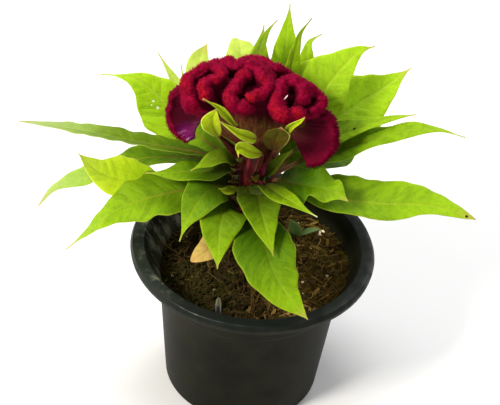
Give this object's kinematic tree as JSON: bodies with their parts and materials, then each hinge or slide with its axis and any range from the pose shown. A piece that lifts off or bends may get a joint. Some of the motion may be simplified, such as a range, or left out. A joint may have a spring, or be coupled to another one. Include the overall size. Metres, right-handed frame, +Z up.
{
  "type": "potted cockscomb flower",
  "caption": "Cockscomb celosia with a folded crimson crest and yellow-green leaves, growing in a round black nursery pot.",
  "frame": {"origin": "centre of the pot's flat bottom, which stands on the ground", "axes": "+Z up along the pot's axis; the plant's front faces -Y; its broadest spread of leaves lies along X"},
  "size_m": [0.2872, 0.1785, 0.2583],
  "materials": {
    "pot_plastic": "black moulded plastic with a slight sheen",
    "soil": "dark potting mix of bark and coir",
    "stem": "ribbed red-purple stem",
    "crest": "crimson velvet florets",
    "leaf_green": "satin yellow-green leaf",
    "leaf_dark": "satin darker green leaf",
    "leaf_lemon": "satin pale lemon-green leaf",
    "leaf_dry": "dry straw-coloured leaf",
    "leaf_bluish": "small blue-green leaf"
  },
  "bodies": {
    "root": {"pot": "pot_plastic", "soil": "soil", "stem": "stem", "crest": "crest", "seedling": "leaf_bluish", "leaf_left_low": "leaf_green", "leaf_left_lemon": "leaf_lemon", "leaf_left_drooping": "leaf_green", "leaf_left_long": "leaf_dark", "leaf_left_middle": "leaf_green", "leaf_left_small": "leaf_green", "leaf_left_behind_crest": "leaf_green", "leaf_back_left_narrow": "leaf_green", "leaf_back_left_thin": "leaf_green", "leaf_back_left_upright": "leaf_green", "leaf_back_rounded": "leaf_green", "leaf_back_slim_left": "leaf_green", "leaf_back_slim_right": "leaf_dark", "leaf_back_tallest": "leaf_green", "leaf_back_right_narrow": "leaf_green", "leaf_back_right_pale": "leaf_lemon", "leaf_back_low": "leaf_green", "leaf_back_low_left": "leaf_green", "leaf_back_low_right": "leaf_green", "leaf_right_upper": "leaf_green", "leaf_right_broad": "leaf_green", "leaf_right_on_edge": "leaf_dark", "leaf_right_long": "leaf_green", "leaf_right_big": "leaf_green", "leaf_front_right_wavy": "leaf_green", "leaf_front_right_twisted": "leaf_green", "leaf_front_middle": "leaf_green", "leaf_front_big": "leaf_green", "leaf_front_left": "leaf_green", "leaf_front_withered": "leaf_dry", "leaf_front_left_folded": "leaf_green", "bract_folded": "leaf_lemon", "bract_broad": "leaf_lemon", "bract_curled": "leaf_lemon", "bract_hooked": "leaf_lemon", "bract_right": "leaf_lemon", "bract_olive": "leaf_dark"}
  },
  "joints": []
}
